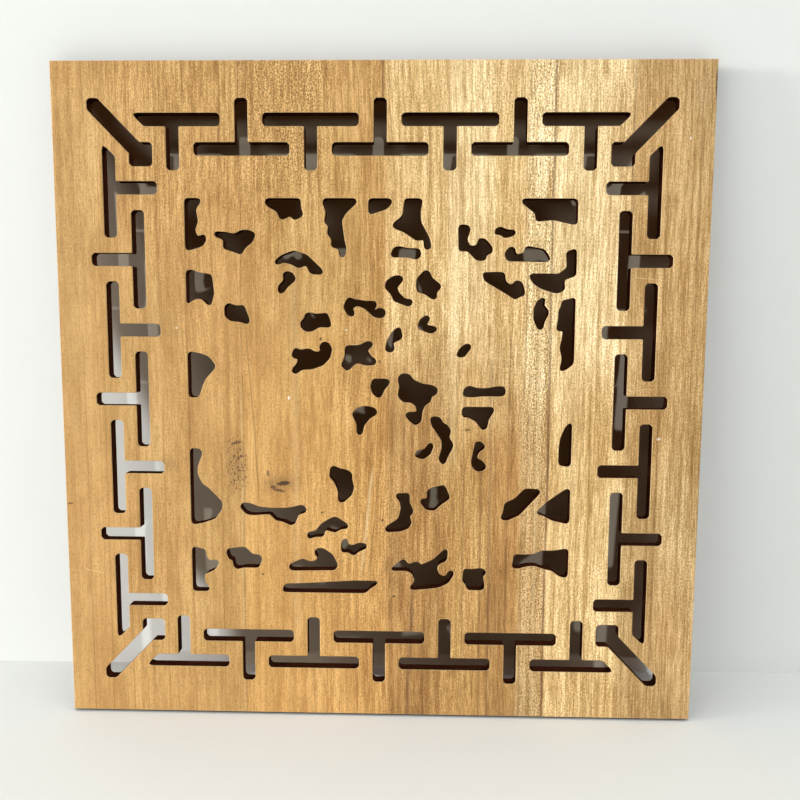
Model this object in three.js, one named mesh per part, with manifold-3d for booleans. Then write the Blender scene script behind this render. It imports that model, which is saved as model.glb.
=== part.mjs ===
// Pierced and carved wooden wall panel, nearly square.
// Millimetres. The flat back lies at y = 0 and faces +Y, the carved front faces -Y, and +Z is up.
// The origin is on the back, in the middle of the top rim, where the panel is hung.

import * as THREE from "three";
import { mergeVertices } from "three/addons/utils/BufferGeometryUtils.js";
import Module from "manifold-3d";

const wasm = await Module();
wasm.setup();

// Panel
const WIDTH = 500;
const HEIGHT = 512;
const THICK = 18;
const GROUND = 10;
const RIM = 27.2;
const RIM_MARGIN = 1;
const RIM_SLOPE = 3;
const FRONT_ARRIS = 2;

// Fret of T slots between the rim and the inner rail
const SLOT = 10;
const T_COUNT = 7;
const UNITS_PER_T = 2.5;
const UNITS_TO_CORNER = 1.8355;
const ARM_UNITS = 1.5;
const CUTTER_RADIUS = 2;
const ARC_LIMIT = 0.4;

// Keyhole slots on the corner diagonals
const KEY_TAIL = 11.7;
const KEY_HEAD = 18;
const KEY_SETBACK = 2.9;
const KEY_WALL = 10;

// Inner rail between the fret and the field
const RAIL = 20.6;
const RAIL_MARGIN = 2.5;
const RAIL_RISE = 5;
const RAIL_STEP = 1.5;
const RAIL_SLOPE = 4;

// Relief on the field's ground. Each pair is a level: a share of the reach and of the rise.
const FLOWER_RISE = 6.5;
const FLOWER_LEVELS = [[0.98, 0.35], [0.78, 0.75], [0.32, 0.3], [0.24, 1]];
const PETALS = 5;
const PETAL_NOTCH = 0.72;
const HEART = 0.5;
const PETAL_POINTS = 3;
const BUD_SIDES = 8;
const BUD_LEVELS = [[0.96, 0.4], [0.55, 1]];
const LEAF_RISE = 4.5;
const LEAF_LEVELS = [[1, 0.25], [0.15, 1]];
const LEAF_ALONG = [0, 0.2, 0.5, 0.8, 1, 0.8, 0.5, 0.2];
const LEAF_ACROSS = [0, 0.17, 0.22, 0.13, 0, -0.13, -0.22, -0.17];
const LEAF_SPINE = 0.75;
const STEM_RISE = 3;
const STEM_LEVELS = [[1, 0.3], [0.35, 1]];
const STEM_TAPER = 0.45;

// Pierced openings in the field
const SAW_RADIUS = 1.6;
const GENTLE_TURN = 0.5;
const SHARP_TURN = 1.8;
const DRAWN_FIELD = 300;

// Worked out
const lastT = (T_COUNT - 1) / 2;
const cornerUnits = lastT * UNITS_PER_T + UNITS_TO_CORNER;
const sunk = 1;
const past = 1;

// Distances from the panel's middle in one direction, for its size that way
function layout(size) {
  const half = size / 2;
  const slotReach = half - RIM;
  const unit = (slotReach - SLOT / 2) / (cornerUnits + 1);
  const fretMiddle = cornerUnits * unit;
  const armReach = ARM_UNITS * unit + SLOT / 2;
  const fretInside = fretMiddle + unit / 2 - armReach;
  const fieldHalf = fretInside - RAIL;
  return { half, slotReach, unit, fretMiddle, armReach, fretInside, fieldHalf };
}

const across = layout(WIDTH);
const upright = layout(HEIGHT);
const fieldScale = new THREE.Vector2(across.fieldHalf, upright.fieldHalf).multiplyScalar(2 / DRAWN_FIELD);
const reliefScale = Math.min(fieldScale.x, fieldScale.y);
const hangHeight = upright.half - RIM / 2;

// Outlines are drawn as seen from the back, u to the right and v up from the middle.
// The part's own x runs the other way.

// Round the inner corners of an opening as its cutter leaves them. Corners where wood stands
// into the opening, and gentle turns along a curve, stay as drawn. An arc takes no more than a
// limited share of the shorter side beside it.
function rounded(points, radius) {
  const sense = THREE.ShapeUtils.isClockWise(points) ? -1 : 1;
  const result = [];
  points.forEach((corner, i) => {
    const before = points[(i + points.length - 1) % points.length];
    const after = points[(i + 1) % points.length];
    const coming = new THREE.Vector2().subVectors(corner, before);
    const going = new THREE.Vector2().subVectors(after, corner);
    const turn = sense * Math.atan2(coming.cross(going), coming.dot(going));
    if (turn < GENTLE_TURN) {
      result.push(corner.clone());
      return;
    }
    const shortest = Math.min(coming.length(), going.length());
    const tangent = Math.min(radius * Math.tan(turn / 2), ARC_LIMIT * shortest);
    const start = corner.clone().addScaledVector(coming.normalize(), -tangent);
    const end = corner.clone().addScaledVector(going.normalize(), tangent);
    const arc = new THREE.QuadraticBezierCurve(start, corner, end);
    result.push(...arc.getPoints(turn > SHARP_TURN ? 2 : 1));
  });
  return result;
}

function pairs(numbers) {
  const points = [];
  for (let i = 0; i < numbers.length; i += 2) {
    points.push(new THREE.Vector2(numbers[i], numbers[i + 1]));
  }
  return points;
}

function polar(reach, angle) {
  return new THREE.Vector2(reach, 0).rotateAround(new THREE.Vector2(), angle);
}

function turned(outline, quarters) {
  return outline.map((p) => p.clone().rotateAround(new THREE.Vector2(), (quarters * Math.PI) / 2));
}

// A closed mesh becomes a solid
function solid(geometry) {
  geometry.deleteAttribute("normal");
  geometry.deleteAttribute("uv");
  const merged = mergeVertices(geometry, 1e-4);
  return new wasm.Manifold(new wasm.Mesh({
    numProp: 3,
    vertProperties: new Float32Array(merged.attributes.position.array),
    triVerts: new Uint32Array(merged.index.array),
  }));
}

// Upright prism through the panel's thickness, from depth a to depth b in front of the back face
function through(outline, a, b) {
  const shape = new THREE.Shape(outline.map((p) => new THREE.Vector2(-p.x, p.y)));
  const geometry = new THREE.ExtrudeGeometry(shape, { depth: b - a, bevelEnabled: false });
  geometry.translate(0, 0, a);
  geometry.rotateX(Math.PI / 2);
  return solid(geometry);
}

// Solid through several outlines of equal length, each at its own depth
function loft(levels) {
  const count = levels[0].outline.length;
  const flat = levels[0].outline.map((p) => new THREE.Vector2(-p.x, p.y));
  const clockwise = THREE.ShapeUtils.isClockWise(flat);
  const position = [];
  levels.forEach(({ outline, depth }) => {
    const ordered = clockwise ? [...outline].reverse() : outline;
    ordered.forEach((p) => position.push(-p.x, -depth, p.y));
  });
  const index = [];
  for (let level = 0; level + 1 < levels.length; level++) {
    for (let i = 0; i < count; i++) {
      const a = level * count + i;
      const b = level * count + ((i + 1) % count);
      index.push(a, b, b + count, a, b + count, a + count);
    }
  }
  const cap = (level) => {
    const outline = levels[level].outline.map((p) => new THREE.Vector2(-p.x, p.y));
    if (clockwise) {
      outline.reverse();
    }
    return THREE.ShapeUtils.triangulateShape(outline, []);
  };
  cap(0).forEach(([a, b, c]) => index.push(a, c, b));
  const top = (levels.length - 1) * count;
  cap(levels.length - 1).forEach(([a, b, c]) => index.push(top + a, top + b, top + c));
  const geometry = new THREE.BufferGeometry();
  geometry.setAttribute("position", new THREE.Float32BufferAttribute(position, 3));
  geometry.setIndex(index);
  return solid(geometry);
}

// Rectangle that keeps the same distance from a line of the layout on all four sides
function rectangle(line, outwards) {
  const u = across[line] + outwards;
  const v = upright[line] + outwards;
  return pairs([-u, -v, u, -v, u, v, -u, v]);
}

// Blank: a board with a sunk ground inside its raised rim
function board() {
  const blank = loft([
    { outline: rectangle("half", 0), depth: 0 },
    { outline: rectangle("half", 0), depth: THICK - FRONT_ARRIS },
    { outline: rectangle("half", -FRONT_ARRIS), depth: THICK },
  ]);
  const slope = (RIM_SLOPE * (THICK + past - GROUND)) / (THICK - GROUND);
  const sinking = loft([
    { outline: rectangle("slotReach", RIM_MARGIN), depth: GROUND },
    { outline: rectangle("slotReach", RIM_MARGIN + slope), depth: THICK + past },
  ]);
  return blank.subtract(sinking);
}

// Inner rail: a raised band with sloping sides
function rail() {
  const step = GROUND + RAIL_STEP;
  const top = GROUND + RAIL_RISE;
  const outer = (outwards) => rectangle("fretInside", outwards - RAIL_MARGIN);
  const inner = (outwards) => rectangle("fieldHalf", outwards + RAIL_MARGIN);
  const band = loft([
    { outline: outer(0), depth: GROUND - sunk },
    { outline: outer(0), depth: step },
    { outline: outer(-RAIL_SLOPE), depth: top },
  ]);
  const hollow = loft([
    { outline: inner(0), depth: GROUND - sunk - past },
    { outline: inner(0), depth: step },
    { outline: inner(RAIL_SLOPE), depth: top },
    { outline: inner(RAIL_SLOPE), depth: top + past },
  ]);
  return band.subtract(hollow);
}

// T slot number i along a side, counted from the middle. The bars stand in two rows by turns,
// the end ones in the outer row, and each stem crosses the other row. The layout along the side
// and the one out towards it are given, so the outline is that of the top side, to be turned.
function tSlot(i, along, out) {
  const outerRow = (lastT - Math.abs(i)) % 2 === 0;
  const away = outerRow ? 1 : -1;
  const middle = i * UNITS_PER_T * along.unit;
  const barMiddle = out.fretMiddle + (away * out.unit) / 2;
  const far = barMiddle + (away * SLOT) / 2;
  const near = barMiddle - (away * SLOT) / 2;
  const foot = barMiddle - away * out.armReach;
  const mitre = (KEY_TAIL / 2 + KEY_WALL) * Math.SQRT2;
  const reach = (side, height) => {
    const end = middle + side * along.armReach;
    const diagonal = along.slotReach - out.slotReach + height - mitre;
    return side * Math.min(side * end, diagonal);
  };
  return rounded(pairs([
    reach(-1, far), far,
    reach(1, far), far,
    reach(1, near), near,
    middle + SLOT / 2, near,
    middle + SLOT / 2, foot,
    middle - SLOT / 2, foot,
    middle - SLOT / 2, near,
    reach(-1, near), near,
  ]), CUTTER_RADIUS);
}

// Keyhole slot on a corner's diagonal: a square head and a slanting tail
function keyhole(sideU, sideV) {
  const endU = across.slotReach;
  const endV = upright.slotReach;
  const nearU = across.fretInside + KEY_SETBACK;
  const nearV = upright.fretInside + KEY_SETBACK;
  const farU = nearU + KEY_HEAD;
  const farV = nearV + KEY_HEAD;
  const offset = KEY_TAIL / Math.SQRT2;
  const outline = pairs([
    endU, endV,
    endU - offset, endV,
    farU - offset, farV,
    nearU, farV,
    nearU, nearV,
    farU, nearV,
    farU, farV - offset,
    endU, endV - offset,
  ]);
  const corner = new THREE.Vector2(sideU, sideV);
  return rounded(outline.map((p) => p.multiply(corner)), CUTTER_RADIUS);
}

// Openings sawn through the field, drawn for a square field of 300, row by row from the top
const openings = [
  // Along the top edge
  [-150, 150, -137.5, 150, -136.8, 147, -141, 142, -139.3, 132.5, -142, 127, -140, 122,
    -134, 124.3, -133.2, 119, -136, 115, -142, 112.8, -150, 111],
  [-88, 150, -60.3, 150, -60.3, 142.5, -58, 138, -60, 136, -66, 133.5, -68.5, 137,
    -76, 133.3, -79, 140, -88, 145],
  [-43, 150, -18.5, 150, -17, 147, -25.5, 139.5, -29, 134, -27.3, 121, -25.3, 113,
    -27, 106.5, -31, 106.8, -31.8, 113, -38, 114.5, -37, 120, -40.8, 124, -39.5, 130,
    -43, 132, -41.5, 140, -44.2, 147],
  [-9, 150, 9, 150, 9.3, 146, 5, 142, -9, 137.5],
  [18.5, 150, 33, 150, 31, 141, 31.3, 133, 38, 121.5, 39.7, 114, 36.5, 112, 33.3, 114,
    33.5, 120, 28, 119, 18, 125.5, 9, 128.8, 10, 132, 17, 137.5],
  [108, 150, 150, 150, 150, 130.5, 140, 132.5, 131, 134.5, 118, 133, 117.5, 139, 107, 147],
  // Upper rows
  [-127.5, 126, -118, 125.3, -112, 124, -106, 127, -101, 127, -94.5, 124.5, -98, 117.5,
    -104, 113, -106, 108, -112, 110.5, -121, 113, -120.3, 119.5, -127.5, 122],
  [-81.5, 104, -76, 108.5, -66, 112, -56, 109, -43.5, 97.5, -43.5, 94, -53.5, 94.5,
    -56.8, 101, -62.5, 98.5, -68, 101.7, -74, 103, -80, 100.5],
  [7.8, 109, 10, 114, 14, 115.5, 22, 113.8, 31, 113.8, 32, 107.5, 28, 105.2, 22, 107, 9, 107],
  [59.5, 131.3, 68, 130.8, 69.3, 127.5, 66.5, 120, 69, 115.7, 73.5, 116, 75, 121.3,
    80, 121.3, 86, 115, 86.3, 110, 81.8, 109.3, 81, 104.5, 73.5, 105, 66.5, 112, 60, 111],
  [86.8, 127, 91, 130.3, 97, 127.5, 103, 127.7, 104, 123.7, 95, 121, 91, 124, 87, 123],
  [94.5, 110, 98.5, 115.3, 103, 115, 104, 109.5, 109.3, 110.7, 111, 116, 117, 115,
    125.5, 113.5, 130.5, 106.5, 128.5, 104, 97, 104.5],
  [150, 114.5, 141.5, 111.5, 142.3, 104, 142.5, 100, 136.5, 95.5, 115, 95.7, 113.8, 93.5,
    117.5, 88, 122.5, 84.7, 132, 81.8, 136, 80.8, 142, 83.7, 141, 91, 150, 94],
  // Second rows
  [-150, 97.5, -145, 97.5, -138, 95.2, -129.7, 94.5, -128, 80, -130.5, 71, -133.5, 71.2,
    -138, 76, -143, 75.8, -150, 71],
  [-120.5, 71, -117, 73.3, -111, 71, -105, 72, -100.5, 60, -102, 56.3, -107, 58.7,
    -116, 59.5, -120.5, 63],
  [-75.5, 95, -71.5, 97, -67, 95.8, -64, 90.5, -71, 84.8, -75, 79.5, -79, 81, -78.5, 86,
    -74, 90.5],
  [-28.5, 70.5, -24.5, 78.3, -19, 76.2, -10, 75, -2.5, 75.3, -2, 71, -4.5, 68, 0, 70.5,
    4.7, 68.5, 5, 64.5, 1, 61.8, -4.5, 63, -12, 69.5, -17, 71.3, -21, 69.5, -18.5, 65.5,
    -20.5, 62.8, -25, 64],
  [10, 93.5, 16, 94.3, 19, 91, 13.5, 85, 14.7, 81.5, 20, 76.5, 25, 77, 26, 73, 22.5, 70.5,
    10.3, 75, 8.5, 80, 3, 85, 5, 90],
  [34, 98, 38.5, 97.5, 40, 92.5, 48.5, 86, 43.5, 81, 45, 77, 41, 75.7, 34.5, 80.2,
    28, 82, 27.8, 91],
  [78, 96.5, 96, 96.7, 96.3, 90, 100.5, 87, 104.5, 91.3, 109.5, 89, 112, 79, 108, 78.8,
    104, 76, 96, 81, 80, 90],
  [125, 78.5, 127.5, 76.8, 126, 72.5, 130.2, 68.3, 129.7, 65.5, 127, 60.5, 126, 55.5,
    123.3, 53, 120.5, 56, 118, 62, 118, 70, 120.5, 75.5],
  [150, 79, 144, 76.8, 139.5, 76.3, 138.7, 71, 137, 69, 137, 63, 135.5, 54.5, 137, 53,
    140.8, 53.5, 140.2, 48, 138.5, 40.5, 140.2, 35, 140.2, 30, 138.7, 24.5, 141, 23,
    145, 25, 150, 29],
  // Middle rows
  [-62, 57, -61, 60, -58.5, 62, -58, 66, -53, 66.3, -50, 65.2, -40, 66.2, -37, 56,
    -39, 55, -47, 55.3, -52, 52, -57, 51.7, -60.5, 54],
  [4, 39.5, 6, 46.5, 10, 52.5, 13.5, 56, 17, 55, 17, 51.5, 18.3, 49, 17, 46.5, 10.5, 43.8,
    12.3, 39, 10, 36.5, 4.5, 37],
  [28.3, 55, 31, 61.5, 35, 64.7, 38.8, 64, 39, 61, 36, 57.5, 44, 56.3, 45, 53.5, 40, 50.5,
    33, 53.2],
  [59, 35.5, 62, 40.3, 66, 43.5, 70.5, 43.8, 71.3, 40, 68, 37, 66.5, 33.5, 60, 33],
  [-68.8, 34, -66.5, 40, -63, 39.8, -62, 38, -55, 39.7, -50, 36.8, -46, 37.3, -47.3, 41,
    -44.5, 44.5, -39.5, 44.5, -36.5, 39, -38.5, 32, -44, 26.5, -53, 23.5, -60.5, 23.3,
    -64.5, 20, -67.5, 19.8, -69.2, 23, -64.5, 28, -63.5, 31.5, -67.5, 31.7],
  [-26.8, 42, -16, 42, -9.5, 45.3, -5, 44.7, -4.8, 42, -9.5, 37.7, -6.7, 35, -6.3, 33,
    -2.5, 32.3, -1.8, 29, -4, 26.9, -12.5, 26.8, -15, 28.5, -18.5, 28, -22, 25,
    -25, 21.5, -30.5, 26.8, -27.3, 33],
  [-150, 36, -147.5, 36.5, -140, 35.3, -133.5, 33, -128, 26.5, -128.3, 24, -136, 16,
    -138.8, 10, -141.5, 1.8, -150, 1.5],
  [-7.5, 11, -5.5, 17, 0, 17, 7, 17, 8.8, 14, 4, 8.5, 1.5, 2.5, -1.5, 2, -6, 6],
  [13.7, 17, 16.5, 21, 23, 21, 27, 16, 34, 13.3, 41, 12.5, 45.7, 10, 45, 5, 41, 4, 40, -1,
    36, -2.5, 33.5, -8, 33, -15.5, 28, -19, 24, -15.5, 19.3, -11, 21.5, -8, 29, -8,
    28.5, -4, 24.5, -0.9, 18, -0.9, 13.7, 4, 15.5, 11],
  [64.3, 6, 66, 10.3, 70, 12.4, 73.5, 11, 76, 10.3, 84, 10.3, 90, 11.7, 97.5, 12, 98.2, 7,
    96.5, 4.1, 80, 4.2, 72, 3.3, 65.3, 3.7],
  [-22, -9.5, -17, -5, -11, -3.7, -4.5, -4.8, -1.3, -7, -2, -10.7, -6.5, -12.5, -12, -19,
    -13, -25, -15.5, -26.7, -18, -25, -18, -18],
  [64.3, -3.9, 89.5, -3.9, 89.5, -7, 85.5, -13, 84.2, -20, 82, -22, 79.5, -21, 75, -15,
    69, -12, 64, -12],
  [39, -13, 41, -11.2, 48, -11.7, 49.5, -16, 53, -17.5, 56.5, -22, 54.5, -27.3, 58.3, -32.3,
    57.5, -35.8, 54, -41.8, 51.5, -48.5, 49, -48, 46, -44.2, 48.8, -36, 48.5, -29.5, 41, -19],
  [27.5, -41.3, 29.5, -36.8, 35, -36.8, 38.5, -31.8, 41.5, -31, 42.7, -34, 40.5, -40,
    34.5, -44.8, 28.5, -42.7],
  [75, -30, 79, -30, 83, -33, 82.8, -35.6, 78, -38.3, 76.5, -43.2, 80, -44.2, 84.3, -48.7,
    83, -52.3, 77.5, -53.8, 73, -50.7, 71.8, -45.7, 74, -35],
  [150, -15.5, 147.5, -15.5, 144.5, -19, 141, -27, 140, -35, 140, -48.2, 150, -49.2],
  // Lower rows
  [-150, -37.2, -141.5, -37.5, -139.7, -41, -144, -52, -144, -57.6, -140.5, -64.8,
    -135, -68.5, -124.3, -79.3, -125.3, -85.3, -130.5, -92.2, -140, -95.5, -150, -97.5],
  [-38.5, -50, -35, -50, -31, -52, -26, -52.6, -20.8, -55.6, -21.5, -60.5, -19.7, -66.5,
    -21.5, -72.5, -28.5, -78.7, -33, -78.4, -32.5, -70.5, -35.5, -63, -39.8, -58.6],
  [12.5, -73.4, 13.7, -70.1, 17.5, -70.9, 24.5, -69.9, 24, -77.4, 27.7, -85.3, 24, -89.2,
    26.5, -93.2, 23, -98.6, 16, -101, 4.5, -101.5, 4.2, -97.6, 15, -90.7, 17.2, -82.3,
    16, -76.9],
  [31.8, -77.4, 33, -74.4, 37.7, -74.9, 37.2, -68.5, 40, -66.5, 51.5, -63.5, 56.5, -74.4,
    50, -78.6, 43.5, -84.4, 36.5, -83.3],
  [95, -90.6, 97.8, -84.2, 98.5, -77.6, 106.5, -74.1, 114.3, -66.1, 126, -66.4, 127, -69.4,
    110.5, -87, 101, -91.3],
  [150, -65.5, 146, -66.4, 131.5, -76.6, 124, -83.8, 124, -86, 129, -87, 136, -90.7,
    150, -93.8],
  [-111.5, -82.3, -109, -79.4, -103, -79.4, -96, -82.3, -86, -83.3, -72, -83, -60, -80.3,
    -57, -84.8, -59, -87.2, -64, -88.2, -67, -96.2, -71, -96.8, -76, -94.2, -82.5, -93.2,
    -87, -88.2, -100, -89.2, -106, -88.5],
  [-58, -104.5, -56.5, -101.5, -51, -101.2, -45.5, -94.6, -35.5, -89.2, -32.5, -90.4,
    -24.3, -95.4, -24.3, -99.4, -30, -99.3, -35, -102.5, -42.5, -100, -44, -105.7,
    -51, -105.7, -56.5, -108],
  [-30.7, -118.4, -30, -109, -27.5, -106.3, -25, -106.8, -24.3, -111.2, -20.5, -112,
    -17, -109.8, -9.3, -110.4, -9.5, -114.4, -16, -116.9, -20, -120.8, -25, -117.4],
  // Along the bottom edge
  [-150, -114.5, -146, -114.8, -138.5, -116.9, -138.5, -122.8, -135, -125.5, -129, -124.5,
    -128, -127.3, -132, -133, -140.3, -136.7, -139.7, -143.2, -136, -147.1, -136.5, -150,
    -150, -150],
  [-122.7, -117.4, -121, -115.7, -107, -114, -101, -120.2, -96.5, -119.9, -93, -122.3,
    -96, -130.8, -109, -130.8, -114, -132.4, -117, -130.3, -117.3, -124.8, -120.5, -124.8],
  [-73, -130.7, -71.5, -127.5, -60.5, -122.5, -57, -124.8, -53, -125.3, -48.7, -122.8,
    -52.3, -118.4, -50.5, -114.7, -45, -114.2, -37, -119.4, -32.5, -127.8, -34.5, -132,
    -70, -132.7],
  [-78.5, -150, -75.5, -143.1, -60, -142.6, -20, -140, -1, -140, -0.7, -142.6, -8, -147,
    -10, -150],
  [9.2, -129.8, 16, -124.3, 20, -121.6, 23.5, -126.5, 30.5, -123.6, 33.5, -126.8,
    43, -122.5, 52.5, -113.4, 54.8, -115, 54, -123.8, 47.5, -126.1, 46, -129.8, 48.5, -134.7,
    53, -135.7, 55.5, -130.8, 59, -130.3, 59.8, -134.2, 55.5, -141, 48, -144.7, 36, -146.2,
    25, -147.2, 24.5, -144.2, 28.5, -139.7, 26.5, -134.2, 22, -131.7, 10, -132],
  [65.7, -139.2, 67, -133.7, 66.7, -129.1, 75, -129.7, 80, -128.6, 85.7, -130.2, 85, -133.9,
    82.7, -135.2, 84.3, -142.7, 83.5, -146.4, 70, -146.4, 69, -141.9],
  [104.8, -126.8, 106.5, -128.8, 111, -128.8, 118, -126.8, 124, -126.6, 130, -128.8,
    137, -130.1, 142, -134, 147, -135.7, 150, -135, 150, -112, 139, -114.2, 128.5, -114.4,
    122, -117.5, 106.5, -117.5, 106.2, -123.3],
];

function sawn(numbers) {
  const points = pairs(numbers).map((p) => p.multiply(fieldScale));
  return through(rounded(points, SAW_RADIUS), -past, THICK + past);
}

// Relief piece: a ring that changes from level to level, with its foot sunk in the ground
function raised(ring, levels, rise) {
  const foot = { outline: ring(levels[0][0]), depth: GROUND - sunk };
  const rest = levels.map(([share, height]) => ({ outline: ring(share), depth: GROUND + rise * height }));
  return loft([foot, ...rest]);
}

// Flower: notched petals rise to a lip and fall to a cup, with a boss in the middle
function flower(middle, radius, turn) {
  const ring = (share) => {
    const points = [];
    for (let i = 0; i < PETALS * PETAL_POINTS; i++) {
      const notch = share > HEART && i % PETAL_POINTS === 0 ? PETAL_NOTCH : 1;
      const angle = turn + (i * 2 * Math.PI) / (PETALS * PETAL_POINTS);
      points.push(polar(radius * share * notch, angle).add(middle));
    }
    return points;
  };
  return raised(ring, FLOWER_LEVELS, FLOWER_RISE);
}

// Bud: a small dome
function bud(middle, radius) {
  const ring = (share) => new THREE.EllipseCurve(middle.x, middle.y, radius * share, radius * share)
    .getPoints(BUD_SIDES).slice(1);
  return raised(ring, BUD_LEVELS, LEAF_RISE);
}

// Leaf: a pointed oval from its stalk end, with a raised spine shorter than the leaf
function leaf(middle, length, turn) {
  const ring = (share) => LEAF_ALONG.map((t, i) => {
    const shrink = LEAF_SPINE + (1 - LEAF_SPINE) * share;
    return new THREE.Vector2(0.5 + (t - 0.5) * shrink, LEAF_ACROSS[i] * share)
      .multiplyScalar(length)
      .rotateAround(new THREE.Vector2(), turn)
      .add(middle);
  });
  return raised(ring, LEAF_LEVELS, LEAF_RISE);
}

// Stem: a ridge along a path, thinner towards its tip
function stem(path, width) {
  const last = path.length - 1;
  const bank = (share) => path.map((p, i) => {
    const along = new THREE.Vector2().subVectors(path[Math.min(i + 1, last)], path[Math.max(i - 1, 0)]);
    const across = along.normalize().rotateAround(new THREE.Vector2(), Math.PI / 2);
    return p.clone().addScaledVector(across, (width / 2) * share * (1 - (STEM_TAPER * i) / last));
  });
  return raised((share) => [...bank(share), ...bank(-share).reverse()], STEM_LEVELS, STEM_RISE);
}

// Where the relief stands, drawn for a square field of 300
// Flowers and leaves: u, v, size, turn in degrees. Buds: u, v, size. Stems: width and path.
const flowers = [
  [-98, 14, 21, 0], [112, 26, 19, 30], [3, -48, 17, 12], [-47, -12, 17, 50],
  [84, 62, 15, 10], [88, -109, 13, 40], [-105, 89, 13, 20], [-9, 108, 13, 30],
];
const buds = [
  [-72, 122, 6.5], [-54, 124, 6], [-90, -103, 7], [101, -46, 7], [-66, -40, 6],
];
const leaves = [
  [-112, -12, 30, 135], [-92, -16, 30, -50], [-112, -44, 32, -60], [-89, 33, 28, 80],
  [-107, 33, 24, 115], [-58, -62, 26, 175], [106, -20, 30, 0], [112, -42, 26, -20],
  [92, -62, 26, 200], [86, -86, 22, 150], [100, 50, 22, -15], [-33, 1, 22, 50],
  [-2, -72, 22, -125], [-14, 87, 22, 155], [46, 117, 28, 80], [72, 140, 28, 0],
];
const stems = [
  [6, -118, -106, -117, -74, -111, -45, -104, -22, -99, 0],
  [4.5, -104, -22, -86, -34, -66, -40, -52, -28],
  [5, -3, -128, -3, -106, -6, -84, 1, -62],
  [5.5, 86, -98, 86, -84, 92, -62, 103, -38, 110, -12, 112, 12],
  [4, 111, 42, 103, 50, 92, 57],
  [4.5, -96, 30, -91, 52, -93, 68, -99, 80],
  [4, -99, 99, -89, 109, -80, 118, -54, 124],
  [4, -117, -102, -106, -103, -92, -103],
  [4, -16, 80, -12, 98],
];

function relief() {
  const placed = (make) => ([u, v, size, turn = 0]) => {
    const middle = new THREE.Vector2(u, v).multiply(fieldScale);
    return make(middle, size * reliefScale, THREE.MathUtils.degToRad(turn));
  };
  return [
    ...flowers.map(placed(flower)),
    ...buds.map(placed(bud)),
    ...leaves.map(placed(leaf)),
    ...stems.map(([width, ...numbers]) => {
      const path = pairs(numbers).map((p) => p.multiply(fieldScale));
      return stem(path, width * reliefScale);
    }),
  ];
}

// Panel: the board with its rail and relief, pierced by the slots and openings
let body = board().add(rail());
relief().forEach((piece) => {
  body = body.add(piece);
});
const slots = [];
for (let i = -lastT; i <= lastT; i++) {
  const level = tSlot(i, across, upright);
  const standing = tSlot(i, upright, across);
  slots.push(level, turned(standing, 1), turned(level, 2), turned(standing, 3));
}
slots.push(keyhole(1, 1), keyhole(-1, 1), keyhole(-1, -1), keyhole(1, -1));
slots.forEach((outline) => {
  body = body.subtract(through(outline, -past, THICK + past));
});
openings.forEach((numbers) => {
  body = body.subtract(sawn(numbers));
});

const mesh = body.getMesh();
const geometry = new THREE.BufferGeometry();
geometry.setAttribute("position", new THREE.BufferAttribute(mesh.vertProperties, 3));
geometry.setIndex(new THREE.BufferAttribute(mesh.triVerts, 1));
geometry.translate(0, 0, -hangHeight);
geometry.computeVertexNormals();

const wood = new THREE.MeshStandardMaterial({ color: 0xc79a5b, roughness: 0.75, metalness: 0 });
const panel = new THREE.Mesh(geometry, wood);
panel.name = "panel";

const part = new THREE.Group();
part.add(panel);

export default part;
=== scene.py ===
"""A pierced and carved wooden wall panel, seen from its bare back, leaning close to a pale wall."""

import logging
import math
from dataclasses import dataclass, field
from enum import Enum
from functools import cached_property

import bmesh
import bpy
import numpy as np
from mathutils import Matrix, Vector
from mathutils.geometry import delaunay_2d_cdt
from mathutils.kdtree import KDTree


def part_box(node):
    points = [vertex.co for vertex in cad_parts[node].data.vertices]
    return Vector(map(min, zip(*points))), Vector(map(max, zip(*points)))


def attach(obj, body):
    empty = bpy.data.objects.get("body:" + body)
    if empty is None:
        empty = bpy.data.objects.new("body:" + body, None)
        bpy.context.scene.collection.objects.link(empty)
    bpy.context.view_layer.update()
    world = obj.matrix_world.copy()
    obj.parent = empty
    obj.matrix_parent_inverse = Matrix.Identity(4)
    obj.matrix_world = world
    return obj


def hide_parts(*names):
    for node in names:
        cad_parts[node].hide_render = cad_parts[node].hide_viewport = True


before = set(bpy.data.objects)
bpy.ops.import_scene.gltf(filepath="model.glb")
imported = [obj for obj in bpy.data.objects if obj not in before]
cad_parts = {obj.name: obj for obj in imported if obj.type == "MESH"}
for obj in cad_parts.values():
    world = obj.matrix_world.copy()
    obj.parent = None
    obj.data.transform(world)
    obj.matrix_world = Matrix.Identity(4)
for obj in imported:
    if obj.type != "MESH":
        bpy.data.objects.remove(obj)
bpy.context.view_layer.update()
MM = 0.001
log = logging.getLogger("panel")


class Face(Enum):
    """Which finish a face of the panel takes, as its material index."""

    BARE = 0
    CUT = 1
    STAINED = 2


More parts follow.
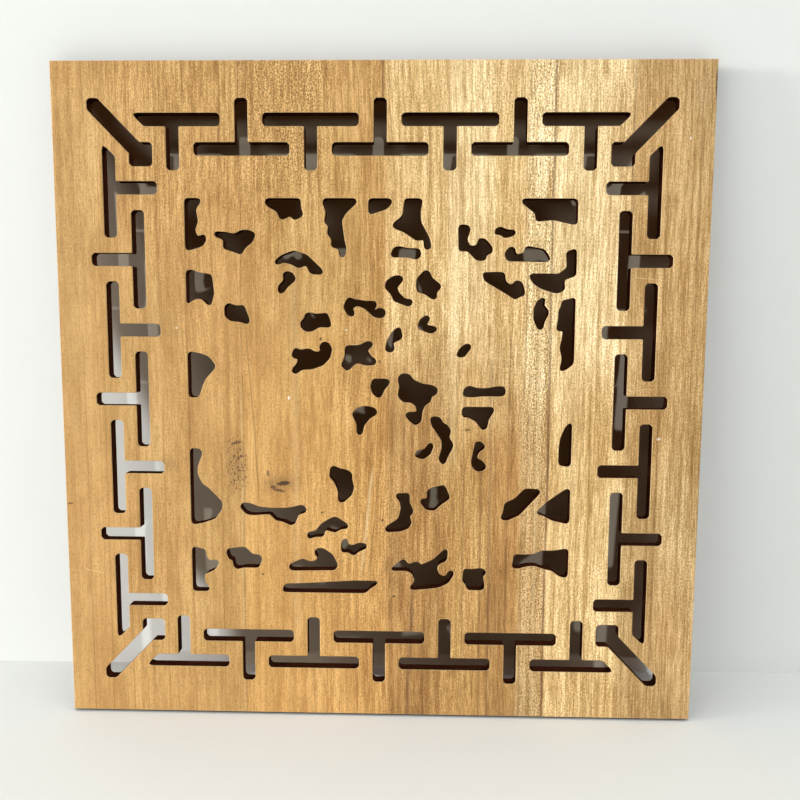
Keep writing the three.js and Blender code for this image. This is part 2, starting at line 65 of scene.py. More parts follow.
@dataclass(frozen=True)
class Layout:
    """Distances of the panel's parts in millimetres, as the maker lays them out.

    u runs to the right and v upwards from the middle of the bare back, as seen from the back.
    """

    rim: float = 27.2
    rim_margin: float = 1.0
    rim_slope: float = 3.0
    front_arris: float = 2.0
    back_arris: float = 0.4
    slot: float = 10.0
    corner_units: float = 9.3355
    arm_units: float = 1.5
    rail: float = 20.6
    rail_margin: float = 2.5
    rail_slope: float = 4.0
    rail_rise: float = 5.0
    thick: float = 18.0
    ground: float = 10.0
    drawn_field: float = 300.0
    low: Vector = field(default_factory=lambda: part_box("panel")[0] / MM)
    high: Vector = field(default_factory=lambda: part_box("panel")[1] / MM)

    @property
    def half(self) -> np.ndarray:
        """Half the panel's width and half its height."""
        size = self.high - self.low
        return np.array([size.x, size.z]) / 2

    @property
    def reach(self) -> np.ndarray:
        """How far out the fret's slots go."""
        return self.half - self.rim

    @property
    def fret_inside(self) -> np.ndarray:
        """Where the fret ends and the rail begins."""
        unit = (self.reach - self.slot / 2) / (self.corner_units + 1)
        return (self.corner_units + 0.5 - self.arm_units) * unit - self.slot / 2

    @property
    def field_half(self) -> np.ndarray:
        """Half the width and half the height of the carved field."""
        return self.fret_inside - self.rail

    @property
    def field_scale(self) -> np.ndarray:
        """What the drawn field is stretched by, across and upright."""
        return 2 * self.field_half / self.drawn_field

    @property
    def middle_height(self) -> float:
        """Height of the panel's middle in the row frame."""
        return (self.low.z + self.high.z) / 2

    def to_uv(self, points: np.ndarray) -> np.ndarray:
        """Turn points of the row frame into u, v.

        Args:
            points: rows of x, y, z in metres.

        Returns:
            Rows of u, v in millimetres.
        """
        return np.stack([-points[:, 0] / MM, points[:, 2] / MM - self.middle_height], axis=1)

    def place(self, u: float, v: float, depth: float) -> Vector:
        """Turn u, v and a depth behind the bare back, in millimetres, into a point of the row frame."""
        return Vector((-u * MM, -depth * MM, (v + self.middle_height) * MM))


@dataclass(frozen=True)
class Flower:
    """A five-petalled flower with a boss, drawn on the square field."""

    u: float
    v: float
    radius: float
    turn: float
    petals: int = 5
    rise: float = 6.5
    notch: float = 0.76

    def height(self, du: np.ndarray, dv: np.ndarray) -> np.ndarray:
        """Height above the ground at points given from the flower's middle.

        Args:
            du: distances to the right in millimetres.
            dv: distances up in millimetres.

        Returns:
            Heights in millimetres, zero outside the flower.
        """
        angle = np.arctan2(dv, du) - math.radians(self.turn)
        lobe = np.abs(np.sin(angle * self.petals / 2))
        edge = self.radius * (self.notch + (1 - self.notch) * lobe ** 0.6)
        share = np.hypot(du, dv) / edge
        level = np.interp(share, [0, 0.16, 0.25, 0.31, 0.55, 0.8, 0.93, 1.0, 1.02],
                          [1, 0.95, 0.7, 0.28, 0.48, 0.82, 0.62, 0.36, 0])
        petal = (share > 0.3) & (share < 1)
        crease = np.exp(-((lobe / 0.16) ** 2)) * 0.3
        veins = 0.035 * np.cos(angle * self.petals * 6)
        level = level - petal * (crease + veins)
        grain = 0.05 * np.cos(du * 3.1) * np.cos(dv * 3.1)
        level = level + (share < 0.24) * grain
        return np.where(share < 1.02, self.rise * np.clip(level, 0, 1), 0)


@dataclass(frozen=True)
class Bud:
    """A small dome with a tip and a split, drawn on the square field."""

    u: float
    v: float
    radius: float
    rise: float = 4.5

    def height(self, du: np.ndarray, dv: np.ndarray) -> np.ndarray:
        """Height above the ground at points given from the bud's middle.

        Args:
            du: distances to the right in millimetres.
            dv: distances up in millimetres.

        Returns:
            Heights in millimetres, zero outside the bud.
        """
        share = np.hypot(du, dv) / self.radius
        dome = np.sqrt(np.clip(1 - share ** 2, 0, 1))
        angle = np.arctan2(dv, du)
        split = 0.18 * np.exp(-((np.sin(angle * 1.5) / 0.2) ** 2)) * (share > 0.25)
        return np.where(share < 1, self.rise * np.clip(dome - split * dome, 0, 1), 0)


@dataclass(frozen=True)
class Leaf:
    """A pointed leaf with a midrib and side veins, drawn on the square field."""

    u: float
    v: float
    length: float
    turn: float
    rise: float = 4.5

    def height(self, du: np.ndarray, dv: np.ndarray) -> np.ndarray:
        """Height above the ground at points given from the leaf's stalk end.

        Args:
            du: distances to the right in millimetres.
            dv: distances up in millimetres.

        Returns:
            Heights in millimetres, zero outside the leaf.
        """
        turn = math.radians(self.turn)
        vein_step = 0.5 * self.length / 3.2
        along = (du * math.cos(turn) + dv * math.sin(turn)) / self.length
        across = (-du * math.sin(turn) + dv * math.cos(turn)) / self.length
        t = np.clip(along, 0, 1)
        width = np.interp(t, [0, 0.2, 0.5, 0.8, 1], [0, 0.17, 0.22, 0.13, 0])
        side = np.abs(across) / np.maximum(width, 0.004)
        inside = (along > 0) & (along < 1) & (side < 1)
        crown = 0.3 + 0.62 * (1 - side ** 1.5) * np.sin(np.pi * np.clip(t, 0.06, 0.94)) ** 0.5
        groove = 0.22 * np.exp(-((across * self.length / 0.8) ** 2))
        slanted = (along - np.abs(across) * 1.2) * self.length
        veins = 0.06 * np.cos(slanted * 2 * math.pi / vein_step)
        return np.where(inside, self.rise * np.clip(crown - groove + veins * side, 0, 1), 0)


@dataclass(frozen=True)
class Stem:
    """A rounded stalk along a path, thinner towards its tip, drawn on the square field."""

    width: float
    path: tuple[float, ...]
    rise: float = 3.0
    taper: float = 0.45

    def height(self, u: np.ndarray, v: np.ndarray, scale: np.ndarray) -> np.ndarray:
        """Height above the ground at field points.

        Args:
            u: distances to the right of the panel's middle in millimetres.
            v: distances above it in millimetres.
            scale: what the drawn field is stretched by, across and upright.

        Returns:
            Heights in millimetres, zero off the stalk.
        """
        points = np.array(self.path).reshape(-1, 2) * scale
        best = np.zeros_like(u)
        last = len(points) - 1
        for i, (a, b) in enumerate(zip(points[:-1], points[1:])):
            run = b - a
            length = float(np.hypot(*run))
            t = np.clip(((u - a[0]) * run[0] + (v - a[1]) * run[1]) / length ** 2, 0, 1)
            away = np.hypot(u - a[0] - t * run[0], v - a[1] - t * run[1])
            half = self.width / 2 * (1 - self.taper * (i + t) / last)
            share = away / half
            round_top = np.sqrt(np.clip(1 - share ** 2, 0, 1))
            best = np.maximum(best, np.where(share < 1, self.rise * (0.3 + 0.7 * round_top), 0))
        return best


FLOWERS = (
    Flower(-98, 14, 21, 0), Flower(112, 26, 19, 30), Flower(3, -48, 17, 12), Flower(-47, -12, 17, 50),
    Flower(84, 62, 15, 10), Flower(88, -109, 13, 40), Flower(-105, 89, 13, 20), Flower(-9, 108, 13, 30),
)
BUDS = (
    Bud(-72, 122, 6.5), Bud(-54, 124, 6), Bud(-90, -103, 7), Bud(101, -46, 7), Bud(-66, -40, 6),
)
LEAVES = (
    Leaf(-112, -12, 30, 135), Leaf(-92, -16, 30, -50), Leaf(-112, -44, 32, -60), Leaf(-89, 33, 28, 80),
    Leaf(-107, 33, 24, 115), Leaf(-58, -62, 26, 175), Leaf(106, -20, 30, 0), Leaf(112, -42, 26, -20),
    Leaf(92, -62, 26, 200), Leaf(86, -86, 22, 150), Leaf(100, 50, 22, -15), Leaf(-33, 1, 22, 50),
    Leaf(-2, -72, 22, -125), Leaf(-14, 87, 22, 155), Leaf(46, 117, 28, 80), Leaf(72, 140, 28, 0),
)
STEMS = (
    Stem(6, (-118, -106, -117, -74, -111, -45, -104, -22, -99, 0)),
    Stem(4.5, (-104, -22, -86, -34, -66, -40, -52, -28)),
    Stem(5, (-3, -128, -3, -106, -6, -84, 1, -62)),
    Stem(5.5, (86, -98, 86, -84, 92, -62, 103, -38, 110, -12, 112, 12)),
    Stem(4, (111, 42, 103, 50, 92, 57)),
    Stem(4.5, (-96, 30, -91, 52, -93, 68, -99, 80)),
    Stem(4, (-99, 99, -89, 109, -80, 118, -54, 124)),
    Stem(4, (-117, -102, -106, -103, -92, -103)),
    Stem(4, (-16, 80, -12, 98)),
)


@dataclass
class CarvedPanel:
    """The one board: bare back, cut slots and openings, and the carved front."""

    layout: Layout
    finishes: tuple[bpy.types.Material, ...]
    step: float = 1.2
    smoothing: int = 2
    coarse: float = 2.5
    clear: float = 0.75
    crease: float = 38.0
    most_cuts: int = 40
    flat: float = 1e-6

    def outline(self) -> bmesh.types.BMesh:
        """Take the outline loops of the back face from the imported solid.

        Returns:
            A mesh of edges alone, in the plane of the bare back.
        """
        bm = bmesh.new()
        bm.from_mesh(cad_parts["panel"].data)
        bmesh.ops.remove_doubles(bm, verts=bm.verts, dist=self.flat)
        rest = [f for f in bm.faces if any(abs(v.co.y) > self.flat for v in f.verts)]
        bmesh.ops.delete(bm, geom=rest, context="FACES")
        inner = [e for e in bm.edges if not e.is_boundary]
        bmesh.ops.delete(bm, geom=inner, context="EDGES")
        loose = [v for v in bm.verts if not v.link_edges]
        bmesh.ops.delete(bm, geom=loose, context="VERTS")
        return bm

    def soften(self, bm: bmesh.types.BMesh) -> None:
        """Round the drawn corners of the slots and openings as cutter and saw leave them.

        Args:
            bm: the outline's edges, which are changed.
        """
        limit = self.layout.reach + 0.5
        uv = self.layout.to_uv(np.array([v.co for v in bm.verts]))
        inside = {v for v, p in zip(bm.verts, uv) if all(abs(p) < limit)}
        groups: dict[int, list[bmesh.types.BMEdge]] = {}
        for edge in bm.edges:
            if edge.verts[0] in inside:
                cuts = round(edge.calc_length() / MM / self.step) - 1
                groups.setdefault(min(cuts, self.most_cuts), []).append(edge)
        for cuts, edges in groups.items():
            if cuts > 0:
                bmesh.ops.subdivide_edges(bm, edges=edges, cuts=cuts)
        uv = self.layout.to_uv(np.array([v.co for v in bm.verts]))
        curve = [v for v, p in zip(bm.verts, uv) if all(abs(p) < limit)]
        sawn = [v for v, p in zip(bm.verts, uv) if all(abs(p) < self.layout.field_half + 0.5)]
        bmesh.ops.smooth_vert(bm, verts=curve, factor=0.25, use_axis_x=True, use_axis_z=True)
        for _ in range(self.smoothing):
            bmesh.ops.smooth_vert(bm, verts=sawn, factor=0.5, use_axis_x=True, use_axis_z=True)

    def rings(self, edges: list[bmesh.types.BMEdge]) -> list[list[bmesh.types.BMVert]]:
        """Follow edges round into closed rings.

        Args:
            edges: the edges of all rings.

        Returns:
            The rings, each anticlockwise in u and v, the panel's own outline first.
        """
        left = dict.fromkeys(edges)
        found = []
        while left:
            first = next(iter(left))
            del left[first]
            start, vert = first.verts
            ring = [start]
            while vert is not start:
                ring.append(vert)
                edge = next(e for e in vert.link_edges if e in left)
                del left[edge]
                vert = edge.other_vert(vert)
            uv = self.layout.to_uv(np.array([v.co for v in ring]))
            area = float(np.sum(uv[:, 0] * np.roll(uv[:, 1], -1) - np.roll(uv[:, 0], -1) * uv[:, 1]))
            found.append((abs(area), ring if area > 0 else ring[::-1]))
        return [ring for _, ring in sorted(found, key=lambda f: -f[0])]

    def points(self, outline: np.ndarray) -> np.ndarray:
        """Spread points over the field for its carving, closer together where the relief stands.

        Args:
            outline: rows of u and v on the outlines, which the points keep clear of.

        Returns:
            Rows of u and v.
        """
        half = self.layout.field_half + self.layout.rail_margin - 0.8
        fine = self.coarse / 2
        counts = (half / fine).astype(int)
        ways = [np.arange(-n, n + 1) for n in counts]
        grid = np.stack(np.meshgrid(*ways), axis=-1).reshape(-1, 2)
        spots = grid * fine
        near = self.relief(spots, spread=1.12) > 0
        keep = near | np.all(grid % 2 == 0, axis=1)
        tree = KDTree(len(outline))
        for i, point in enumerate(outline):
            tree.insert((*point, 0), i)
        tree.balance()
        return np.array([p for p, yes in zip(spots, keep) if yes and tree.find((*p, 0))[2] > self.clear])

    def frames(self) -> list[tuple[float, float]]:
        """Find where the carved side bends, at the rim and at the rail.

        Returns:
            Distances inside the panel's edge, across and upright.
        """
        lay = self.layout
        outer = [lay.rim - lay.rim_margin - lay.rim_slope, lay.rim - lay.rim_margin, lay.front_arris]
        start = float(lay.half[0] - lay.fret_inside[0] + lay.rail_margin)
        wide = lay.rail - 2 * lay.rail_margin
        inner = [0, 0.4, 2, lay.rail_slope, wide - lay.rail_slope, wide - 2, wide - 0.4, wide]
        upright = float(lay.half[1] - lay.fret_inside[1] + lay.rail_margin)
        return [(d, d) for d in outer] + [(start + d, upright + d) for d in inner]

    def sheet(self, rings: list[list[bmesh.types.BMVert]], carved: bool) -> bmesh.types.BMesh:
        """Fill the outline, leaving the slots and openings free.

        Args:
            rings: the outlines, the panel's own first.
            carved: adds the bends and points that the carving needs.

        Returns:
            The filled sheet, in the plane of the bare back.
        """
        flat = [self.layout.to_uv(np.array([v.co for v in ring])) for ring in rings]
        outline = np.concatenate(flat)
        ends = np.cumsum([len(r) for r in flat])
        faces = [list(range(end - len(r), end)) for end, r in zip(ends, flat)]
        spots, edges = [outline], []
        if carved:
            spots.append(self.points(outline))
            count = sum(len(s) for s in spots)
            for across, upright in self.frames():
                x, y = self.layout.half - np.array([across, upright])
                spots.append(np.array([(-x, -y), (x, -y), (x, y), (-x, y)]))
                edges += [(count + i, count + (i + 1) % 4) for i in range(4)]
                count += 4
        uv = [Vector(p) for p in np.concatenate(spots)]
        done = delaunay_2d_cdt(uv, edges, faces, 1, 1e-4)
        bm = bmesh.new()
        verts = [bm.verts.new(self.layout.place(p.x, p.y, 0)) for p in done[0]]
        for corners, inside in zip(done[2], done[5]):
            if inside == [0]:
                bm.faces.new([verts[c] for c in corners])
        bmesh.ops.delete(bm, geom=[v for v in bm.verts if not v.link_faces], context="VERTS")
        return bm

    def relief(self, uv: np.ndarray, spread: float = 1.0) -> np.ndarray:
        """Height of the carved flowers, leaves, buds and stems above the ground.

        Args:
            uv: rows of u, v in millimetres.
            spread: makes each form larger, to find what lies near it.

        Returns:
            Heights in millimetres.
        """
        scale = self.layout.field_scale
        size = float(min(scale)) * spread
        u, v = uv[:, 0], uv[:, 1]
        best = np.zeros(len(uv))
        for form in (*FLOWERS, *BUDS, *LEAVES):
            du = (u - form.u * scale[0]) / size
            dv = (v - form.v * scale[1]) / size
            best = np.maximum(best, form.height(du, dv))
        for stem in STEMS:
            wide = Stem(stem.width * spread, stem.path)
            best = np.maximum(best, wide.height(u, v, scale))
        return best

    def depth(self, uv: np.ndarray) -> np.ndarray:
        """How far the carved side lies behind the bare back.

        Args:
            uv: rows of u, v in millimetres.

        Returns:
            Depths in millimetres.
        """
        lay = self.layout
        away = np.abs(uv)
        tooled = 0.12 * np.cos(uv[:, 0] * 0.9 + np.sin(uv[:, 1] * 0.31)) * np.cos(uv[:, 1] * 0.8)
        in_field = np.all(away < lay.field_half + lay.rail_margin, axis=1)
        ground = lay.ground - 0.25 + np.where(in_field, tooled, 0)
        result = ground + self.relief(uv)
        from_outer = np.min(lay.fret_inside - lay.rail_margin - away, axis=1)
        from_inner = np.max(away - lay.field_half - lay.rail_margin, axis=1)
        on_rail = np.minimum(from_outer, from_inner)
        rise = np.interp(on_rail, [0, 0.4, 2, lay.rail_slope], [0, 1.5, 3.9, lay.rail_rise])
        result = np.where(on_rail >= 0, lay.ground + rise, result)
        from_slots = np.max(away - lay.reach - lay.rim_margin, axis=1)
        rim = np.interp(from_slots, [0, lay.rim_slope], [lay.ground, lay.thick])
        result = np.where(from_slots > 0, rim, result)
        from_edge = np.min(lay.half - away, axis=1)
        arris = np.interp(from_edge, [0, lay.front_arris], [lay.thick - lay.front_arris, lay.thick])
        return np.where(from_edge < lay.front_arris, arris, result)

    def build(self) -> bpy.types.Object:
        """Make the panel's mesh.

        Returns:
            The panel as an object in the row frame.
        """
        outline = self.outline()
        self.soften(outline)
        rings = self.rings(list(outline.edges))
        log.info("outline: %d rings, %d points", len(rings), len(outline.verts))
        bm = self.sheet(rings, carved=True)
        log.info("carved side: %d faces", len(bm.faces))
        front = bm.faces[:]
        depth = self.depth(self.layout.to_uv(np.array([v.co for v in bm.verts])))
        edges = [e for e in bm.edges if e.is_boundary]
        sheet = bm.verts[:]
        grown = bmesh.ops.extrude_edge_only(bm, edges=edges)["geom"]
        for vert in (g for g in grown if isinstance(g, bmesh.types.BMVert)):
            vert.co.y = -self.layout.back_arris * MM
        for vert, value in zip(sheet, depth):
            vert.co.y = -value * MM
        walls = {g for g in grown if isinstance(g, bmesh.types.BMFace)}
        back = self.sheet(rings, carved=False)
        bmesh.ops.translate(back, verts=back.verts, vec=(0, -self.layout.back_arris * MM, 0))
        mesh = bpy.data.meshes.new("bare_back")
        back.to_mesh(mesh)
        back.free()
        outline.free()
        count = len(bm.faces)
        bm.from_mesh(mesh)
        bpy.data.meshes.remove(mesh)
        bm.faces.ensure_lookup_table()
        flat = bm.faces[count:]
        bmesh.ops.remove_doubles(bm, verts=bm.verts, dist=self.flat)
        bmesh.ops.recalc_face_normals(bm, faces=bm.faces)
        arris = bmesh.ops.inset_region(bm, faces=flat, use_boundary=True, use_even_offset=True,
                                       thickness=self.layout.back_arris * MM, depth=0)["faces"]
        for vert in dict.fromkeys(v for f in flat for v in f.verts):
            vert.co.y = 0
        bm.normal_update()
        self.mark(bm, set(front), walls, set(flat) | set(arris))
        return self.finish(bm)

    def mark(self, bm: bmesh.types.BMesh, front: set, walls: set, back: set) -> None:
        """Give each face its finish and each hard edge its crease.

        Args:
            bm: the whole panel.
            front: the faces of the carved side, not used.
            walls: the faces of the slots, the openings and the panel's sides.
            back: the faces of the bare back and its arris.
        """
        outer = self.layout.half - 0.5
        for face in bm.faces:
            face.smooth = True
            face.material_index = Face.STAINED.value
            if face in back:
                face.material_index = Face.BARE.value
            elif face in walls:
                uv = self.layout.to_uv(np.array([face.calc_center_median()]))[0]
                inside = all(abs(uv) < outer)
                face.material_index = Face.CUT.value if inside else Face.STAINED.value
        for edge in bm.edges:
            if len(edge.link_faces) == 2 and edge.calc_face_angle() > math.radians(self.crease):
                edge.smooth = False

    def finish(self, bm: bmesh.types.BMesh) -> bpy.types.Object:
        """Make the object of a finished mesh.

        Args:
            bm: the whole panel, which is freed.

        Returns:
            The panel's object, linked to the scene.
        """
        open_edges = sum(len(e.link_faces) != 2 for e in bm.edges)
        log.info("panel: %d faces, %d open edges", len(bm.faces), open_edges)
        mesh = bpy.data.meshes.new("carved_panel")
        for finish in self.finishes:
            mesh.materials.append(finish)
        bm.to_mesh(mesh)
        bm.free()
        panel = bpy.data.objects.new("carved_panel", mesh)
        bpy.context.scene.collection.objects.link(panel)
        return panel


Color = tuple[float, float, float]
Socket = bpy.types.NodeSocket
Source = Socket | float | tuple[float, ...]


def paint(red: int, green: int, blue: int, lit: float = 1.0) -> Color:
    """Turn a colour seen under the studio's light into the surface's own colour.

    Args:
        red: the red seen, from 0 to 255.
        green: the green seen.
        blue: the blue seen.
        lit: how brightly the surface was lit.

    Returns:
        The linear colour of the surface.
    """
    seen = (c / 255 for c in (red, green, blue))
    return tuple((c / 12.92 if c < 0.04045 else ((c + 0.055) / 1.055) ** 2.4) / lit for c in seen)


@dataclass
class Bench:
    """A node tree on which a finish is put together."""

    tree: bpy.types.NodeTree

    def put(self, kind: str, **settings: object) -> bpy.types.Node:
        """Add a node and set its options.

        Args:
            kind: the node's type.
            settings: its options by name.

        Returns:
            The node.
        """
        node = self.tree.nodes.new(kind)
        for name, value in settings.items():
            setattr(node, name, value)
        return node

    def join(self, source: Source, target: Socket) -> None:
        """Lead a socket or a plain value into a socket.

        Args:
            source: the socket or the value.
            target: the socket that takes it.
        """
        if isinstance(source, bpy.types.NodeSocket):
            self.tree.links.new(source, target)
        else:
            target.default_value = source

    def work(self, operation: str, *values: Source, clamp: bool = False) -> Socket:
        """Work out a number from others.

        Args:
            operation: the name of the sum.
            values: sockets or numbers.
            clamp: keeps the result from 0 to 1.

        Returns:
            The result.
        """
        node = self.put("ShaderNodeMath", operation=operation, use_clamp=clamp)
        for value, target in zip(values, node.inputs):
            self.join(value, target)
        return node.outputs[0]

    def mix(self, share: Source, first: Source, second: Source, blend: str = "MIX") -> Socket:
        """Lay one colour over another.

        Args:
            share: how much of the second colour is taken.
            first: the colour below.
            second: the colour above.
            blend: how it is laid on.

        Returns:
            The mixed colour.
        """
        node = self.put("ShaderNodeMix", data_type="RGBA", blend_type=blend)
        for value, target in ((share, node.inputs[0]), (first, node.inputs[6]), (second, node.inputs[7])):
            flat = isinstance(value, tuple) and len(value) == 3
            self.join((*value, 1.0) if flat else value, target)
        return node.outputs[2]

    def ease(self, value: Source, start: float, end: float, low: float = 0.0, high: float = 1.0) -> Socket:
        """Lead a number smoothly from one value to another.

        Args:
            value: the number.
            start: where the change starts.
            end: where it ends.
            low: the result at the start.
            high: the result at the end.

        Returns:
            The eased number.
        """
        node = self.put("ShaderNodeMapRange", interpolation_type="SMOOTHSTEP")
        turned = start > end
        settings = (end, start, high, low) if turned else (start, end, low, high)
        self.join(value, node.inputs[0])
        for number, target in zip(settings, node.inputs[1:5]):
            target.default_value = number
        return node.outputs[0]

    def noise(self, place: Source, stretch: Color, detail: float = 2.0, roughness: float = 0.5,
              offset: Color = (0.0, 0.0, 0.0)) -> Socket:
        """Make a cloudy pattern.

        Args:
            place: where on the board.
            stretch: how often it repeats in a metre, along each axis.
            detail: how many finer layers it has.
            roughness: how strong they are.
            offset: moves the pattern.

        Returns:
            A number of about 0.5, from 0 to 1.
        """
        mapping = self.put("ShaderNodeMapping")
        self.join(place, mapping.inputs["Vector"])
        mapping.inputs["Scale"].default_value = stretch
        mapping.inputs["Location"].default_value = offset
        node = self.put("ShaderNodeTexNoise")
        self.join(mapping.outputs[0], node.inputs["Vector"])
        node.inputs["Scale"].default_value = 1.0
        node.inputs["Detail"].default_value = detail
        node.inputs["Roughness"].default_value = roughness
        return node.outputs[0]

    def ramp(self, value: Source, stops: list[tuple[float, Color]]) -> Socket:
        """Read a colour off a scale.

        Args:
            value: where on the scale, from 0 to 1.
            stops: pairs of a place on the scale and a colour.

        Returns:
            The colour.
        """
        node = self.put("ShaderNodeValToRGB")
        self.join(value, node.inputs[0])
        elements = node.color_ramp.elements
        while len(elements) < len(stops):
            elements.new(1.0)
        for element, (place, _) in zip(elements, stops):
            element.position = place
        for element, (_, color) in zip(elements, stops):
            element.color = (*color, 1.0)
        return node.outputs[0]

    def most(self, masks: list[Socket]) -> Socket:
        """Lay masks over each other and keep the strongest at each place.

        Args:
            masks: the masks, at least one.

        Returns:
            One mask.
        """
        result = masks[0]
        for mask in masks[1:]:
            result = self.work("MAXIMUM", result, mask)
        return result

    def bump(self, height: Socket, distance: float, strength: float = 0.6) -> Socket:
        """Turn heights into a surface that stands up and sinks in.

        Args:
            height: the heights, of about 1.
            distance: how far in metres a height of 1 stands up.
            strength: how much of it shows.

        Returns:
            The normal.
        """
        node = self.put("ShaderNodeBump")
        node.inputs["Strength"].default_value = strength
        node.inputs["Distance"].default_value = distance
        self.join(height, node.inputs["Height"])
        return node.outputs[0]


def blank(name: str) -> tuple[bpy.types.Material, Bench, bpy.types.Node]:
    """Start a material.

    Args:
        name: the material's name.

    Returns:
        The material, a bench on its nodes, and its shader.
    """
    material = bpy.data.materials.new(name)
    material.use_nodes = True
    bench = Bench(material.node_tree)
    return material, bench, bench.tree.nodes["Principled BSDF"]


def plain(name: str, color: Color, roughness: float) -> bpy.types.Material:
    """Make a plain material of one colour, for the room alone.

    Args:
        name: the material's name.
        color: its linear colour.
        roughness: its roughness.

    Returns:
        The material.
    """
    material, _, shader = blank(name)
    shader.inputs["Base Color"].default_value = (*color, 1)
    shader.inputs["Roughness"].default_value = roughness
    return material


def fibre_group() -> bpy.types.NodeTree:
    """Make the grain that every finish of the wood takes.

    Returns:
        A group that turns a place on the board into fibres, streaks, sandy grain, pores and their height.
    """
    group = bpy.data.node_groups.new("wood_fibre", "ShaderNodeTree")
    group.interface.new_socket("Place", in_out="INPUT", socket_type="NodeSocketVector")
    for name in ("Fibre", "Streak", "Sand", "Pore", "Height"):
        group.interface.new_socket(name, in_out="OUTPUT", socket_type="NodeSocketFloat")
    bench = Bench(group)
    place = bench.put("NodeGroupInput").outputs["Place"]
    sway = bench.noise(place, (9, 9, 3.2), 1.0, offset=(3, 1, 7))
    shift = bench.put("ShaderNodeCombineXYZ")
    bench.join(bench.work("MULTIPLY_ADD", sway, 0.022, -0.011), shift.inputs[0])
    moved = bench.put("ShaderNodeVectorMath", operation="ADD")
    bench.join(place, moved.inputs[0])
    bench.join(shift.outputs[0], moved.inputs[1])
    swayed = moved.outputs[0]
    coarse = bench.noise(swayed, (240, 240, 9), 3.0, 0.6)
    fine = bench.noise(swayed, (900, 900, 60), 2.0, 0.7, (5, 2, 9))
    fibre = bench.work("ADD", bench.work("MULTIPLY", coarse, 0.5), bench.work("MULTIPLY", fine, 0.5))
    streak = bench.noise(swayed, (60, 60, 1.4), 3.0, 0.6, (1, 4, 2))
    sand = bench.noise(swayed, (950, 950, 640), 1.0, 0.8, (6, 9, 4))
    dash = bench.noise(swayed, (1150, 1150, 330), 1.0, 0.5, (8, 3, 1))
    pore = bench.ease(dash, 0.56, 0.66)
    raised = bench.work("MULTIPLY_ADD", fibre, 0.7, bench.work("MULTIPLY", pore, -0.5))
    raised = bench.work("MULTIPLY_ADD", sand, 0.6, raised)
    out = bench.put("NodeGroupOutput")
    for source, target in zip((fibre, streak, sand, pore, raised), out.inputs):
        bench.join(source, target)
    return group


@dataclass
class Surface:
    """A place on the panel and the wood's grain there, as a finish reads them."""

    bench: Bench
    layout: Layout
    fibres: bpy.types.NodeTree

    @cached_property
    def place(self) -> Socket:
        """The place in the row frame."""
        return self.bench.put("ShaderNodeTexCoord").outputs["Object"]

    @cached_property
    def axes(self) -> tuple[Socket, ...]:
        """Split the place along the axes.

        Returns:
            Its x, y and z in metres.
        """
        node = self.bench.put("ShaderNodeSeparateXYZ")
        self.bench.join(self.place, node.inputs[0])
        return tuple(node.outputs)

    @cached_property
    def u(self) -> Socket:
        """Its distance to the right of the panel's middle, in millimetres."""
        return self.bench.work("MULTIPLY", self.axes[0], -1 / MM)

    @cached_property
    def v(self) -> Socket:
        """Its distance above the panel's middle, in millimetres."""
        return self.bench.work("MULTIPLY_ADD", self.axes[2], 1 / MM, -self.layout.middle_height)

    @cached_property
    def grain(self) -> dict[str, Socket]:
        """Read the grain there.

        Returns:
            Fibre, Streak, Sand, Pore and Height, by name.
        """
        node = self.bench.put("ShaderNodeGroup", node_tree=self.fibres)
        self.bench.join(self.place, node.inputs["Place"])
        return {output.name: output for output in node.outputs}


@dataclass(frozen=True)
class Line:
    """A line along the grain of the bare back, dark or pale, in millimetres."""

    u: float
    low: float
    high: float
    width: float
    strength: float
    lean: float = 0.0


@dataclass(frozen=True)
class Spot:
    """A small mark on the bare back, as a stretched blot, in millimetres."""

    u: float
    v: float
    across: float
    upright: float
    strength: float = 0.8
    turn: float = 0.0
    core: float = 0.6


class Tone(Enum):
    """The tones of the boards that the back is glued from; where a middle board is paler at its top, that
    paler tone is partly a painted sheen.
    """

    HONEY = (205, 160, 95)
    AMBER = (215, 165, 95)
    CREAM = (250, 220, 165)
    STRAW = (240, 205, 145)
    BROWN = (185, 140, 80)
    GREY_TAN = (205, 170, 115)


@dataclass(frozen=True)
class Board:
    """One glued board of the back, from seam to seam, in millimetres; a paler tone at its top is partly a
    painted sheen.
    """

    left: float
    right: float
    upper: Tone
    lower: Tone
    soft: float = 1.0


BOARDS = (
    Board(-250, -107, Tone.HONEY, Tone.HONEY), Board(-107, 3, Tone.HONEY, Tone.AMBER),
    Board(3, 52, Tone.STRAW, Tone.BROWN, 6.0), Board(52, 87, Tone.CREAM, Tone.HONEY, 6.0),
    Board(87, 112, Tone.STRAW, Tone.BROWN, 4.0), Board(112, 132, Tone.CREAM, Tone.GREY_TAN),
    Board(132, 190, Tone.CREAM, Tone.STRAW), Board(190, 250, Tone.GREY_TAN, Tone.GREY_TAN),
)
DARK_LINES = (
    Line(2, 196, 260, 1.6, 0.5), Line(-107.5, -260, 260, 0.9, 0.28), Line(-95, -90, 60, 1.0, 0.35, -0.06),
    Line(131.2, -260, 260, 1.5, 0.6), Line(66, -260, 20, 1.2, 0.35), Line(80, -260, -20, 1.4, 0.35),
    Line(87, -260, 40, 1.8, 0.5), Line(101, -260, 60, 1.1, 0.35), Line(19, -55, -5, 1.3, 0.4),
    Line(23, -260, -150, 2.6, 0.6, 0.03), Line(36, -260, -165, 1.4, 0.35), Line(5, -143, -122, 3.0, 0.6),
    Line(190.3, 120, 260, 1.2, 0.4), Line(-10, -150, -48, 0.9, 0.35, 0.11), Line(47, -200, 60, 1.0, 0.25),
    Line(-52, -256, -150, 1.0, 0.22), Line(-150, -40, 256, 0.9, 0.2), Line(216, -256, 120, 1.0, 0.25),
    Line(112.5, -260, 260, 1.0, 0.25), Line(240, -40, 256, 1.0, 0.22), Line(-232, -256, 60, 1.0, 0.2),
)
